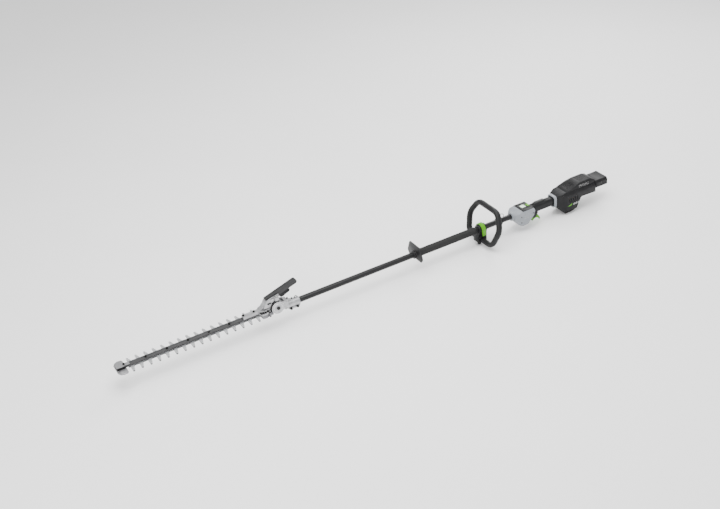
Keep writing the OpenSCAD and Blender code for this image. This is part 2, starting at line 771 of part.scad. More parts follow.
// ---- Motor housing ----
module motor_side() {
    polygon([[nose_s, 27], [2121, 37], [2177, 34], [motor_s1, 31], [motor_s1, -9], [2207, -6],
        [2200, -10], [2184, -42], [2174, -66], [2162, -72], [2122, -72], [nose_s, -29]]);
}
module motor_side_inner() {
    polygon([[nose_s + 4, 23.5], [2121, 33], [2177, 30], [motor_s1 + 2, 27], [motor_s1 + 2, -5],
        [2205, -2], [2197, -8], [2181, -43], [2171, -63], [2161, -68], [2124, -68], [nose_s + 4, -26]]);
}
// What is cut off both flanks: the taper of the nose in plan, and the slope along the top edges
module flank_cuts(inset) {
    for (k = [-1, 1]) {
        up_z(-90, 60) polygon([[2050, k * 60], [2050, k * (24 - inset)], [nose_s, k * (24 - inset)],
            [2122, k * (motor_hw + 0.1 - inset)], [2122, k * 60]]);
        along_x(2050, 2300) polygon([[k * 60, 22 - inset], [k * (motor_hw + 0.2), 22 - inset],
            [k * (34.8 - inset), 35.2], [k * (34.8 - inset), 60], [k * 60, 60]]);
    }
}
module motor_shell(m) {
    difference() {
        intersection() {
            union() {
                difference() {
                    across_y(-motor_hw, motor_hw) motor_side();
                    flank_cuts(0);
                }
                // plate inside the grey collar
                along_x(motor_s0, nose_s + 2) translate([0, -1]) round_rect(40.8, 45.8, 9.9);
            }
            place(2180, m * 60, 0) cube([260, 120, 200], center = true);
        }
        difference() {
            across_y(-motor_hw + wall, motor_hw - wall) motor_side_inner();
            flank_cuts(wall + 0.5);
        }
        along_x(motor_s0 - 2, 2090) handle_section(handle_hw + 0.02, 20.02);
        rod_y(3.02, 34.5, 60, 2105, 25);
        rod_x(tube_r + 0.5, 2060, 2100);
        up_z(26, 40) translate([2202, 0]) square([126, 60], center = true);
        // flank vents
        for (i = [0:4]) across_y(-60, 60) translate([2136 + 11 * i, -4]) rotate(12) round_rect(4, 26, 1.9);
        for (k = [-1, 1]) along_x(2060, 2300)
            polygon([[k * 50, -50], [k * 50, -90], [k * 30, -90], [k * 34, -66]]);
    }
    // bulkheads that carry the motor
    intersection() {
        difference() {
            union() {
                along_x(2112, 2116) square([74, 52], center = true);
                along_x(2194, 2197) translate([0, 10.5]) square([76, 35], center = true);
            }
            rod_x(11.05, 2100, 2120);
            rod_x(7.05, 2190, 2220);
        }
        place(2160, m * 60, 0) cube([120, 120, 100], center = true);
    }
}
module motor_left() {
    color([0.16, 0.16, 0.17]) motor_shell(1);
}
module motor_right() {
    color([0.13, 0.13, 0.14]) motor_shell(-1);
}
// Raised cover with a ribbed top and a window in its front slope
module motor_hood() {
    color([0.2, 0.2, 0.21]) difference() {
        union() {
            across_y(-35, 35) polygon([[2123, 37.2], [2128, 40], [2198, 60], [2204, 61], [2262, 61],
                [2284.8, 51], [2284.8, 31.3], [2177, 34.3]]);
            for (i = [0:8]) across_y(-28, 28)
                translate([2212 + 6 * i, 61]) square([2.6, 2.4], center = true);
        }
        across_y(-35 + wall, 35 - wall) polygon([[2134, 30], [2136, 38], [2200, 56.5], [2261, 57.5],
            [2281, 48.5], [2281, 30]]);
        across_y(-20, 20) translate([2160, 50.5]) rotate(16) square([44, 7], center = true);
        for (k = [-1, 1]) along_x(2100, 2300) polygon([[k * 36, 66], [k * 36, 50], [k * 27, 66]]);
    }
    color("black") for (i = [-4:4]) across_y(4 * i - 0.8, 4 * i + 0.8)
        translate([2160, 47.4]) rotate(16) square([47, 2], center = true);
}
module front_collar() {
    color("lightslategray") difference() {
        along_x(motor_s0 - 4, nose_s) translate([0, -1]) round_rect(50, 56, 12);
        along_x(motor_s0 - 5, nose_s + 1) translate([0, -1]) round_rect(41, 46, 10);
        for (k = [-1, 1]) rod_x(1.72, motor_s0 - 5, motor_s0, k * 22.7, -12);
    }
}
module housing_screws() {
    color("silver") {
        for (k = [-1, 1]) rod_x(1.7, motor_s0 - 5, motor_s0, k * 22.7, -12);
        for (p = [[2176, 13.5], [2240, 8], [2150, -56]]) rod_y(3.2, motor_hw, motor_hw + 1, p[0], p[1]);
        rod_y(3, 34.5, 38, 2105, 25);
    }
}
module stator() {
    color("peru") difference() {
        rod_x(25, stator_s0, stator_s1);
        rod_x(14.5, stator_s0 - 1, stator_s1 + 1);
        for (a = [0:30:330]) place(stator_s1 + 1, 0, 0) rotate([a, 0, 0]) translate([0, 0, 18.5])
            rotate([0, 90, 0]) cylinder(r = 2.2, h = stator_s1 - stator_s0 + 2, $fn = 16);
    }
}
module motor_bearings() {
    color("silver") for (bearing = [[2112, 2116, 11], [2194, 2197, 7]]) difference() {
        rod_x(bearing[2], bearing[0], bearing[1]);
        rod_x(4.05, bearing[0] - 1, bearing[1] + 1);
    }
}
// Rotor with its shaft, cooling fan and the coupling to the drive shaft
module rotor() {
    color("dimgray") difference() {
        union() {
            rod_x(4, 2101, 2200);
            rod_x(13.8, stator_s0 + 2, stator_s1 - 2);
            rod_x(7, 2092.5, 2110);
            rod_x(16.5, 2181, 2185);
            for (a = [0:40:320]) place(2191.5, 0, 0) rotate([a, 0, 0]) translate([0, -0.8, 6])
                cube([8, 1.6, 10.5]);
        }
        rod_x(drive_r + 0.02, 2090, 2100.4);
    }
}
module foot_pad() {
    color("black") difference() {
        up_z(-axis_h, -72) translate([2142, 0]) round_rect(34, 58, 4);
        up_z(-axis_h - 1, -axis_h + 0.8) for (i = [-2:2])
            translate([2142 + 6 * i, 0]) square([2, 52], center = true);
    }
}
// Sleeve that a slide-on battery goes into from the rear, with side grooves and a closed top
module battery_dock() {
    dock_s1 = total_len;
    color([0.1, 0.1, 0.1]) difference() {
        union() {
            along_x(motor_s1 + 4, dock_s1) translate([0, 23]) round_rect(86, 36, 6);
            along_x(motor_s1, motor_s1 + 5) translate([0, 21]) round_rect(78, 32, 6);
            along_x(2278, 2296) translate([0, 14]) round_rect(72, 22, 4);
        }
        // slopes along the top edges
        for (k = [-1, 1]) along_x(2280, dock_s1 + 1) polygon([[k * 44, 30], [k * 44, 50], [k * 32, 50],
            [k * 32, 41.1], [k * 35, 41]]);
        // channel with side grooves
        along_x(2299, dock_s1 + 1) translate([0, 22]) square([62, 24], center = true);
        along_x(2299, dock_s1 + 1) translate([0, 19]) square([74, 8], center = true);
        along_x(2270, 2292) translate([0, 14]) round_rect(66, 18, 3);
        for (k = [-1, 1]) across_y(k > 0 ? 41 : -44, k > 0 ? 44 : -41)
            translate([2326, 10]) round_rect(44, 5, 2.4);
        // hole of the eject button in the left wall
        rod_y(5.3, 25, 50, 2318, 26);
        terminal_bars();
    }
}
module terminal_bars() {
    for (i = [-2:2]) across_y(9 * i - 1, 9 * i + 1)
        polygon([[2294, 14], [2294, 24], [2314, 24], [2316, 19], [2314, 14]]);
}
module dock_terminals() {
    color("gold") terminal_bars();
}
module eject_button() {
    color("dimgray") {
        rod_y(5, 36.6, 44.6, 2318, 26);
        rod_y(3, 32, 36.6, 2318, 26);
    }
}

tip_guard();
tip_block();
blade_bar();
bar_bolts();
bar_nuts();
blade_upper();
blade_lower();
gearbox_upper();
gearbox_lower();
gearbox_bolts();
crank_gear();
output_shaft();
head_bearings();
idler_bevel();
pivot_bolt();
index_plate();
pivot_cap();
transfer_shaft();
neck_yoke();
neck_cover();
neck_bolts();
lever_bracket();
lever_handle();
lock_trigger();
lock_pin();
shaft_tube();
drive_shaft();
drive_bushes();
hand_stop();
foam_grip();
loop_handle();
loop_clamp();
clamp_knobs();
cam_lever();
harness_clamp();
harness_ring();
control_left();
control_right();
control_panel();
display_lens();
power_button();
control_board();
handle_left();
handle_right();
handle_screws();
trigger();
trigger_switch();
lock_off_lever();
motor_left();
motor_right();
motor_hood();
front_collar();
housing_screws();
stator();
motor_bearings();
rotor();
foot_pad();
battery_dock();
dock_terminals();
eject_button();
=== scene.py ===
import json
import math
import bmesh
import bpy
from mathutils import Matrix, Vector


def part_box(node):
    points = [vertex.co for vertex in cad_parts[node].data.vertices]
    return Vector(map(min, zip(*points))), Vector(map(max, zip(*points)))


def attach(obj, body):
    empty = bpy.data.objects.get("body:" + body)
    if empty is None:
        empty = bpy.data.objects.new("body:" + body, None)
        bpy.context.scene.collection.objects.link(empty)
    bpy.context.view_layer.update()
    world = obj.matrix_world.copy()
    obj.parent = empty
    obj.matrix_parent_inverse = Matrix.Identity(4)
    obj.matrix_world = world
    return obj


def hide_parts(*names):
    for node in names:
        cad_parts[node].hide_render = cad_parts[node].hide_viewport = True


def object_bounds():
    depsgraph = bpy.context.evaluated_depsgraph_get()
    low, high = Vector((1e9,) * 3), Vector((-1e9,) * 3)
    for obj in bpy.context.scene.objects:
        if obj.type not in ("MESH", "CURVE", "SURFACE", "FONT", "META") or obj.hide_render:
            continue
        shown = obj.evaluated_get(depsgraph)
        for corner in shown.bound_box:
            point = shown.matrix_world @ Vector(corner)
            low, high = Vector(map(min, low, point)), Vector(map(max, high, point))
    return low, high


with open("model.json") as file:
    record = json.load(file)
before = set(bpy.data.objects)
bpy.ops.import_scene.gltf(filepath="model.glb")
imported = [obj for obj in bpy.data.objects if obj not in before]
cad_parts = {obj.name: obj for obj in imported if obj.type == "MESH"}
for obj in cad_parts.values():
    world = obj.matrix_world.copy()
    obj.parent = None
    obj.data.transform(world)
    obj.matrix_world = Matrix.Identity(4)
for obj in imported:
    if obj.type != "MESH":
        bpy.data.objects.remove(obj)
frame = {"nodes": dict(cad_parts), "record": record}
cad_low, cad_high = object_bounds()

# ---- Studio ----
# A pale floor under the tool, a wide soft light overhead, two fills, and the camera in front of the
# cutting head, to its left and above.
tube_low, tube_high = (Vector(corner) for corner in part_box("shaft_tube"))
axis_z = (tube_low.z + tube_high.z) / 2
tip_x = cad_high[0]

view_yaw = math.radians(63.25)
view_pitch = math.radians(32.39)
view_roll = math.radians(-5.86)
view_distance = 3.8935
aim_right = 1.099
aim_up = 0.5095
aim_origin = Vector((tip_x + 0.2066, 0, axis_z))

back = Vector((math.cos(view_yaw) * math.cos(view_pitch), math.sin(view_yaw) * math.cos(view_pitch),
               math.sin(view_pitch)))
level_right = Vector((0, 0, 1)).cross(back).normalized()
level_up = back.cross(level_right)
cam_right = math.cos(view_roll) * level_right + math.sin(view_roll) * level_up
cam_up = math.cos(view_roll) * level_up - math.sin(view_roll) * level_right
camera = bpy.data.objects.new("camera", bpy.data.cameras.new("camera"))
camera.data.lens = 52.64
camera.data.sensor_width = 36
camera.data.clip_end = 50
camera.matrix_world = Matrix((cam_right, cam_up, back)).transposed().to_4x4()
camera.location = aim_origin + aim_right * cam_right + aim_up * cam_up + view_distance * back
bpy.context.scene.collection.objects.link(camera)
bpy.context.scene.camera = camera

for light_name, place, size, watts in (("overhead", (0.2, 0.3, 3.2), 3.0, 165),
                                       ("front_fill", (2.6, 2.4, 1.8), 2.0, 60),
                                       ("rear_rim", (-2.6, -1.6, 2.2), 1.6, 60)):
    lamp = bpy.data.lights.new(light_name, "AREA")
    lamp.size = size
    lamp.energy = watts
    light = bpy.data.objects.new(light_name, lamp)
    light.location = place
    light.rotation_euler = (Vector((0, 0, axis_z)) - Vector(place)).to_track_quat("-Z", "Y").to_euler()
    bpy.context.scene.collection.objects.link(light)

world = bpy.data.worlds.new("studio")
bpy.context.scene.world = world
world.use_nodes = True
world.node_tree.nodes["Background"].inputs["Color"].default_value = (1, 1, 1, 1)
world.node_tree.nodes["Background"].inputs["Strength"].default_value = 1.05


# ---- Shaft tube ----
# Black powder-coated steel tube, 25 mm across. The coat is satin, with a fine orange-peel and faint
# rub marks along its length where hands and clamps slide.
body_of = {node: body for body, nodes in frame["record"]["behaviour"]["bodies"].items()
           for node in nodes}
slot_of = {part["node"]: part["material_slot"] for part in frame["record"]["subparts"]}


class Wire:
    """A node's output that Python's arithmetic works on, by adding Math nodes."""

    def __init__(self, graph, socket):
        self.graph = graph
        self.socket = socket

    def out(self, name):
        return Wire(self.graph, self.socket.node.outputs[name])

    def maths(self, operation, first, second):
        return self.graph.node("ShaderNodeMath", {"operation": operation}, first, second)

    def __add__(self, other):
        return self.maths("ADD", self, other)

    def __radd__(self, other):
        return self.maths("ADD", other, self)

    def __sub__(self, other):
        return self.maths("SUBTRACT", self, other)

    def __rsub__(self, other):
        return self.maths("SUBTRACT", other, self)

    def __mul__(self, other):
        return self.maths("MULTIPLY", self, other)

    def __rmul__(self, other):
        return self.maths("MULTIPLY", other, self)

    def __gt__(self, other):
        return self.maths("GREATER_THAN", self, other)


class Graph:
    """A node tree that is filled one node at a time."""

    def __init__(self, tree):
        self.tree = tree

    def node(self, kind, settings=None, *values, **named):
        made = self.tree.nodes.new(kind)
        for key, value in (settings or {}).items():
            setattr(made, key, value)
        for key, value in list(enumerate(values)) + list(named.items()):
            if isinstance(value, Wire):
                self.tree.links.new(value.socket, made.inputs[key])
            else:
                made.inputs[key].default_value = value
        return Wire(self, made.outputs[0])

    def mix(self, share, first, second):
        """A colour between two colours. Each may be a wire or four numbers."""
        made = self.tree.nodes.new("ShaderNodeMix")
        made.data_type = "RGBA"
        self.tree.links.new(share.socket, made.inputs[0])
        for label, value in (("A", first), ("B", second)):
            socket = [end for end in made.inputs if end.name == label and end.type == "RGBA"][0]
            if isinstance(value, Wire):
                self.tree.links.new(value.socket, socket)
            else:
                socket.default_value = value
        return Wire(self, [end for end in made.outputs if end.type == "RGBA"][0])


def sized_tree(name, **kinds):
    """An empty geometry node tree with named inputs, and the wire that carries them."""
    graph = Graph(bpy.data.node_groups.new(name, "GeometryNodeTree"))
    for label, kind in kinds.items():
        graph.tree.interface.new_socket(label, in_out="INPUT", socket_type="NodeSocket" + kind)
    graph.tree.interface.new_socket("Geometry", in_out="OUTPUT", socket_type="NodeSocketGeometry")
    return graph, graph.node("NodeGroupInput")


def end_tree(graph, shape, material):
    """Makes the instances real, gives them their finish and ends the tree."""
    real = graph.node("GeometryNodeRealizeInstances", None, shape)
    painted = graph.node("GeometryNodeSetMaterial", None, real, Material=material)
    graph.tree.links.new(painted.socket, graph.tree.nodes.new("NodeGroupOutput").inputs[0])


def grown(name, tree, base, **values):
    """The mesh that a node tree makes from a base mesh, its named inputs set before it is evaluated."""
    carrier = bpy.data.objects.new("carrier", base)
    bpy.context.scene.collection.objects.link(carrier)
    modifier = carrier.modifiers.new(name, "NODES")
    modifier.node_group = tree
    for socket in tree.interface.items_tree:
        if socket.name in values:
            modifier[socket.identifier] = values[socket.name]
    return applied(carrier, name)


def at(s, y, z):
    """A point s millimetres behind the tip, y to the left and z above the tube's middle line."""
    return (tip_x - s / 1000, y / 1000, axis_z + z / 1000)


def finish_of(name, dark, light, roughness, patch=0.02, grain=0.0006, depth=0.00004, metallic=0.0,
              stretch=(1, 1, 1), coat=0.0, rough_spread=0.12, shine=0.5, scuffs=0.0, cavity_shade=0.0):
    """A procedural finish: colour drifts between two shades under a fine grain in height and gloss.

    scuffs adds long pale rub marks, and the last option paints shade into corners and recesses: an
    ambient occlusion node darkens them as shade would.
    """
    material = bpy.data.materials.new(name)
    material.use_nodes = True
    graph = Graph(material.node_tree)
    shader = material.node_tree.nodes["Principled BSDF"]
    shader.inputs["Metallic"].default_value = metallic
    shader.inputs["Coat Weight"].default_value = coat
    shader.inputs["Specular IOR Level"].default_value = shine
    place = graph.node("ShaderNodeTexCoord").out("Object")
    stretched = graph.node("ShaderNodeMapping", None, place, Scale=stretch)
    drift = graph.node("ShaderNodeTexNoise", None, Vector=stretched, Scale=1 / patch, Detail=4.0)
    fine = graph.node("ShaderNodeTexNoise", None, Vector=stretched, Scale=1 / grain, Detail=2.0)
    colour = graph.mix(drift * 1.6 - 0.3, (*dark, 1), (*light, 1))
    gloss = roughness + rough_spread * (drift - 0.5) + 0.08 * (fine - 0.5)
    if scuffs:
        rubbed = graph.node("ShaderNodeMapping", None, place, Scale=(0.08, 1, 1), Rotation=(0, 0, 0.3))
        lines = graph.node("ShaderNodeTexNoise", None, Vector=rubbed, Scale=700.0, Detail=3.0)
        marks = (lines > 0.66) * (drift > 0.5) * scuffs
        colour = graph.mix(marks, colour, tuple(min(1, part * 2.4 + 0.02) for part in light) + (1,))
        gloss = gloss + marks * 0.2
    # painted shade: the more closed in a spot is, the darker its colour, as if shade fell there
    if cavity_shade:
        closed_in = 1 - graph.node("ShaderNodeAmbientOcclusion", {"samples": 4},
                                   Distance=0.014).out("AO")
        colour = graph.mix(closed_in * cavity_shade, colour, (0.02, 0.02, 0.021, 1))
    bump = graph.node("ShaderNodeBump", None, Strength=0.5, Distance=depth, Height=fine)
    material.node_tree.links.new(colour.socket, shader.inputs["Base Color"])
    material.node_tree.links.new(gloss.socket, shader.inputs["Roughness"])
    material.node_tree.links.new(bump.socket, shader.inputs["Normal"])
    return material


def dress(node, material):
    """Gives a CAD node its finish, where its own shape is right."""
    slots = frame["nodes"][node].material_slots
    for place in slots:
        place.material = material
    if not slots:
        frame["nodes"][node].data.materials.append(material)


tube_black = finish_of("satin_black_coat", (0.006, 0.006, 0.0065), (0.011, 0.011, 0.012), 0.3,
                       patch=0.05, grain=0.0012, depth=0.00002, stretch=(0.15, 1, 1), shine=0.3,
                       scuffs=0.5)
dress("shaft_tube", tube_black)
floor_pale = finish_of("pale_floor", (0.93, 0.93, 0.93), (0.96, 0.96, 0.96), 0.8, patch=0.6,
                       grain=0.01, depth=0.0001, shine=0.2)
floor_mesh = bpy.data.meshes.new("floor")
floor_mesh.from_pydata([(-14, -14, 0), (14, -14, 0), (14, 14, 0), (-14, 14, 0)], [], [(0, 1, 2, 3)])
floor_mesh.materials.append(floor_pale)
floor = bpy.data.objects.new("floor", floor_mesh)
bpy.context.scene.collection.objects.link(floor)

# ---- Drive inside the shaft ----
# Ground steel shafts and gears run in sintered bronze bushes. They are only seen with the covers off.
gear_steel = finish_of("machined_steel", (0.32, 0.32, 0.33), (0.5, 0.5, 0.51), 0.33, patch=0.01,
                       grain=0.0004, metallic=0.9, stretch=(1, 6, 6))
bronze = finish_of("sintered_bronze", (0.42, 0.25, 0.1), (0.6, 0.4, 0.18), 0.45, patch=0.004,
                   metallic=0.8)
copper = finish_of("enamelled_copper", (0.4, 0.13, 0.04), (0.62, 0.26, 0.1), 0.3, patch=0.002,
                   grain=0.0008, depth=0.0002, stretch=(1, 8, 8), coat=0.4)
board_green = finish_of("solder_mask", (0.01, 0.1, 0.03), (0.02, 0.17, 0.06), 0.3, patch=0.006)
switch_red = finish_of("switch_case", (0.2, 0.01, 0.01), (0.32, 0.02, 0.02), 0.45)
inner_finish = {"gear_steel": gear_steel, "bronze": bronze, "copper": copper, "board": board_green,
                "switch_red": switch_red}
for node in frame["nodes"]:
    if slot_of[node] in inner_finish:
        dress(node, inner_finish[slot_of[node]])

# ---- Hand stop ----
# Injection-moulded plate that keeps the front hand off the blades. Its rim is rounded and its hub is
# pressed on the tube.
black_plastic = finish_of("black_moulding", (0.007, 0.007, 0.0075), (0.013, 0.013, 0.014), 0.38,
                          patch=0.03, grain=0.0009, depth=0.00006, shine=0.16, scuffs=0.25)
rubbed_plastic = finish_of("rubbed_black_moulding", (0.025, 0.025, 0.026), (0.05, 0.05, 0.052), 0.3,
                           patch=0.01, grain=0.0009, depth=0.00004, shine=0.4)


def add_piece(name, mesh, node_or_body, materials=(), replaced=()):
    """Puts a finished mesh in the scene, riding on a CAD body."""
    piece = bpy.data.objects.new(name, mesh)
    bpy.context.scene.collection.objects.link(piece)
    if materials:
        mesh.materials.clear()
        for material in materials:
            mesh.materials.append(material)
    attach(piece, body_of.get(node_or_body, node_or_body))
    if replaced:
        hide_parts(*replaced)
    return piece


def applied(piece, name):
    """The evaluated mesh of a piece, so that no modifier stays live; the carrier object is removed."""
    bpy.context.view_layer.update()
    mesh = bpy.data.meshes.new_from_object(piece.evaluated_get(bpy.context.evaluated_depsgraph_get()))
    mesh.name = name
    bpy.data.objects.remove(piece)
    return mesh


def softened(node, width, material, edge=None, segments=2, smooth_angle=40):
    """A copy of a CAD node with rounded edges, which take the worn finish where edge is given."""
    source = frame["nodes"][node]
    shape = bmesh.new()
    shape.from_mesh(source.data)
    shape.transform(source.matrix_world)
    bmesh.ops.remove_doubles(shape, verts=shape.verts, dist=2e-6)
    bmesh.ops.dissolve_limit(shape, angle_limit=math.radians(0.6), verts=shape.verts, edges=shape.edges)
    mesh = bpy.data.meshes.new(node + "_soft")
    shape.to_mesh(mesh)
    shape.free()
    finishes = [material, edge] if edge else [material]
    for finish in finishes:
        mesh.materials.append(finish)
    for face in mesh.polygons:
        face.material_index = 0
    carrier = bpy.data.objects.new("carrier", mesh)
    bpy.context.scene.collection.objects.link(carrier)
    bevel = carrier.modifiers.new("edges", "BEVEL")
    bevel.width = width
    bevel.segments = segments
    bevel.limit_method = "ANGLE"
    bevel.angle_limit = math.radians(35)
    bevel.use_clamp_overlap = True
    bevel.material = 1 if edge else -1
    finished = applied(carrier, node + "_finished")
    for face in finished.polygons:
        face.use_smooth = True
    finished.set_sharp_from_angle(angle=math.radians(smooth_angle))
    return add_piece(node + "_finished", finished, node, (), (node,))


softened("hand_stop", 0.0018, black_plastic, rubbed_plastic, segments=3)

# ---- Foam grip ----
# Closed-cell foam sleeve, slid on the tube. It is a little fuller in the middle, its ends are cut
# round, and its skin is pitted.
foam_black = finish_of("closed_cell_foam", (0.008, 0.008, 0.008), (0.02, 0.02, 0.02), 0.78,
                       patch=0.004, grain=0.0016, depth=0.0006, rough_spread=0.1, shine=0.3)


def turned(name, profile, centre, sides=64):
    """A mesh turned round the X axis through centre, from a closed ring of (place, radius) pairs."""
    verts = []
    for place, radius in profile:
        for k in range(sides):
            turn = 2 * math.pi * k / sides
            ring_point = Vector((place, radius * math.cos(turn), radius * math.sin(turn)))
            verts.append(Vector(centre) + ring_point)
    count = len(profile)
    faces = [((i * sides + k), (i * sides + (k + 1) % sides),
              (((i + 1) % count) * sides + (k + 1) % sides),
              (((i + 1) % count) * sides + k)) for i in range(count) for k in range(sides)]
    mesh = bpy.data.meshes.new(name)
    mesh.from_pydata(verts, [], faces)
    shape = bmesh.new()
    shape.from_mesh(mesh)
    bmesh.ops.remove_doubles(shape, verts=shape.verts, dist=1e-7)
    bmesh.ops.recalc_face_normals(shape, faces=shape.faces)
    shape.to_mesh(mesh)
    shape.free()
    for face in mesh.polygons:
        face.use_smooth = True
    mesh.set_sharp_from_angle(angle=math.radians(50))
    return mesh


foam_low, foam_high = (Vector(corner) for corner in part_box("foam_grip"))
foam_len = foam_high.x - foam_low.x
foam_r = (foam_high.z - foam_low.z) / 2
tube_r = (tube_high.z - tube_low.z) / 2
foam_gap = 0.0001
foam_skin = [(foam_low.x, tube_r + foam_gap), (foam_low.x, foam_r - 0.003)]
foam_skin += [(foam_low.x + 0.003 * (1 - math.cos(a)), foam_r - 0.003 + 0.003 * math.sin(a))
              for a in (0.4, 0.8, 1.2)]
foam_skin += [(foam_low.x + foam_len * f, foam_r - 0.0006 + 0.0005 * math.sin(math.pi * f) +
               0.00008 * math.sin(41 * f)) for f in [0.012 + 0.976 * k / 60 for k in range(61)]]
foam_skin += [(foam_high.x - 0.003 * (1 - math.cos(a)), foam_r - 0.003 + 0.003 * math.sin(a))
              for a in (1.2, 0.8, 0.4)]
foam_skin += [(foam_high.x, foam_r - 0.003), (foam_high.x, tube_r + foam_gap)]
foam = add_piece("foam_sleeve", turned("foam_sleeve", foam_skin, (0, 0, axis_z)), "foam_grip",
                 (foam_black,), ("foam_grip",))

# ---- Loop handle ----
# One moulded loop round the shaft. Its bar is oval, and the part that the hand holds has fine raised
# ribs across it. Its middle line is the CAD loop's outline, leaning back.
loop_low, loop_high = (Vector(corner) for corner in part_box("loop_handle"))
loop_lean = math.radians(18)
loop_bar = 0.012
loop_deep = 0.014
rib_height = 0.35
loop_corners = [(-70, 98, 44), (70, 98, 44), (111, 30, 60), (86, -52, 34), (-86, -52, 34),
                (-111, 30, 60)]
loop_x = (loop_low.x + loop_high.x) / 2 + math.sin(loop_lean) * 0.023


def rounded_outline(corners, steps):
    """Points of a closed outline from its rounded corners, (across, up, radius) in millimetres."""
    points = []
    for i, (across, up, radius) in enumerate(corners):
        here = Vector((across, up))
        before = Vector(corners[i - 1][:2]) - here
        after = Vector(corners[(i + 1) % len(corners)][:2]) - here
        half = before.angle(after) / 2
        middle = (before.normalized() + after.normalized()).normalized()
        centre = here + middle * radius / math.sin(half)
        start = here + before.normalized() * radius / math.tan(half) - centre
        sweep = math.pi - 2 * half
        for k in range(steps + 1):
            turn = -sweep * k / steps
            points.append(centre + Vector((start.x * math.cos(turn) - start.y * math.sin(turn),
                                           start.x * math.sin(turn) + start.y * math.cos(turn))))
    return points


def looped_bar(name, outline, half_across, half_deep, sides, ribs):
    """A closed oval bar along a flat outline, with low ribs where ribs(point) is over 0."""
    fine = []
    for i, point in enumerate(outline):
        following = outline[(i + 1) % len(outline)]
        parts = max(1, int((following - point).length / 1.5))
        fine += [point.lerp(following, k / parts) for k in range(parts)]
    verts = []
    for i, point in enumerate(fine):
        along = (fine[(i + 1) % len(fine)] - fine[i - 1]).normalized()
        across = Vector((along.y, -along.x))
        swell = -rib_height + rib_height * ribs(point) * (1 if i % 3 else 0)
        for k in range(sides):
            turn = 2 * math.pi * k / sides
            out = point + across * (half_across + swell) * math.cos(turn)
            deep = (half_deep + swell) * math.sin(turn)
            # the loop's own plane leans back: its up axis goes up and to the rear
            lean_x = deep * math.cos(loop_lean) / 1000 - out.y * math.sin(loop_lean) / 1000
            lean_z = out.y * math.cos(loop_lean) / 1000 + deep * math.sin(loop_lean) / 1000
            verts.append(Vector((loop_x + lean_x, out.x / 1000, axis_z + lean_z)))
    count = len(fine)
    faces = [(i * sides + k, ((i + 1) % count) * sides + k, ((i + 1) % count) * sides + (k + 1) % sides,
              i * sides + (k + 1) % sides) for i in range(count) for k in range(sides)]
    mesh = bpy.data.meshes.new(name)
    mesh.from_pydata(verts, [], faces)
    shape = bmesh.new()
    shape.from_mesh(mesh)
    bmesh.ops.recalc_face_normals(shape, faces=shape.faces)
    shape.to_mesh(mesh)
    shape.free()
    for face in mesh.polygons:
        face.use_smooth = True
    return mesh


grip_black = finish_of("soft_grip", (0.007, 0.007, 0.0075), (0.013, 0.013, 0.0135), 0.45,
                       patch=0.01, grain=0.0008, depth=0.00012, shine=0.2)
loop_mesh = looped_bar("loop_bar", rounded_outline(loop_corners, 14), loop_bar * 1000,
                       loop_deep * 1000, 36, lambda point: 1 if point.y > 0 else 0)
add_piece("loop_bar", loop_mesh, "loop_handle", (grip_black,), ("loop_handle",))

# ---- Loop clamp and quick lever ----
# Moulded clamp round the tube, two thumb wheels, and a green lever that pinches it when it is closed
# over the top.
green_gloss = finish_of("green_moulding", (0.065, 0.27, 0.001), (0.09, 0.33, 0.002), 0.36,
                        patch=0.02, grain=0.0007, depth=0.00003, coat=0.1, shine=0.3)
softened("loop_clamp", 0.0014, black_plastic, rubbed_plastic)
softened("cam_lever", 0.0012, green_gloss, segments=3)
dress("clamp_knobs", black_plastic)


def ribbed_knob(name, centre, radius, height, ribs):
    """A thumb wheel: a low drum with rounded flutes round it."""
    graph, given = sized_tree(name + "_flutes", Radius="Float", Height="Float", Flutes="Int")
    ring = graph.node("GeometryNodeMeshCircle", None, given.out("Flutes"), given.out("Radius"))
    flute = graph.node("GeometryNodeMeshCylinder", {"fill_type": "NGON"}, 12, 1, 1,
                       given.out("Radius") * 0.13, given.out("Height"))
    spread = graph.node("GeometryNodeInstanceOnPoints", None, ring, Instance=flute)
    drum = graph.node("GeometryNodeMeshCylinder", {"fill_type": "NGON"}, 48, 1, 1,
                      given.out("Radius"), given.out("Height") * 0.86)
    both = graph.node("GeometryNodeJoinGeometry")
    for part in (spread, drum):
        graph.tree.links.new(part.socket, both.socket.node.inputs[0])
    end_tree(graph, both, black_plastic)
    mesh = grown(name, graph.tree, bpy.data.meshes.new(name), Radius=radius, Height=height, Flutes=ribs)
    mesh.transform(Matrix.Translation(centre))
    return mesh


wheel_low_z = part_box("clamp_knobs")[0][2]
clamp_wheel = ribbed_knob("clamp_wheel", (at(1668, 0, 0)[0], 0, wheel_low_z + 0.0062), 0.0072,
                          0.0118, 14)
add_piece("clamp_wheel", clamp_wheel, "clamp_knobs")

# ---- Harness clamp and strap ring ----
# A moulded band with a lug, and a bent steel ring that swings in it.
zinc = finish_of("zinc_plate", (0.36, 0.36, 0.35), (0.56, 0.56, 0.55), 0.3, patch=0.006,
                 metallic=0.85)
softened("harness_clamp", 0.001, black_plastic, rubbed_plastic)
dress("harness_ring", zinc)

# ---- Tip guard and tip block ----
# A pressed steel guard plate below the bar's nose, with a core block and a bright steel cap. The core
# block is coloured black where its side face lies in shade: painted shade.
guard_steel = finish_of("pressed_steel", (0.26, 0.26, 0.27), (0.42, 0.42, 0.43), 0.34, patch=0.012,
                        metallic=0.8, stretch=(1, 4, 1), scuffs=0.5)
dark_rim = finish_of("blued_edge", (0.03, 0.03, 0.031), (0.07, 0.07, 0.072), 0.4, patch=0.006,
                     metallic=0.6)
softened("tip_guard", 0.0009, guard_steel, dark_rim)
# painted shade: the block takes the black moulding finish to stand for the shade on its side face
softened("tip_block", 0.0009, black_plastic, rubbed_plastic)
block_low, block_high = (Vector(corner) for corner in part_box("tip_block"))


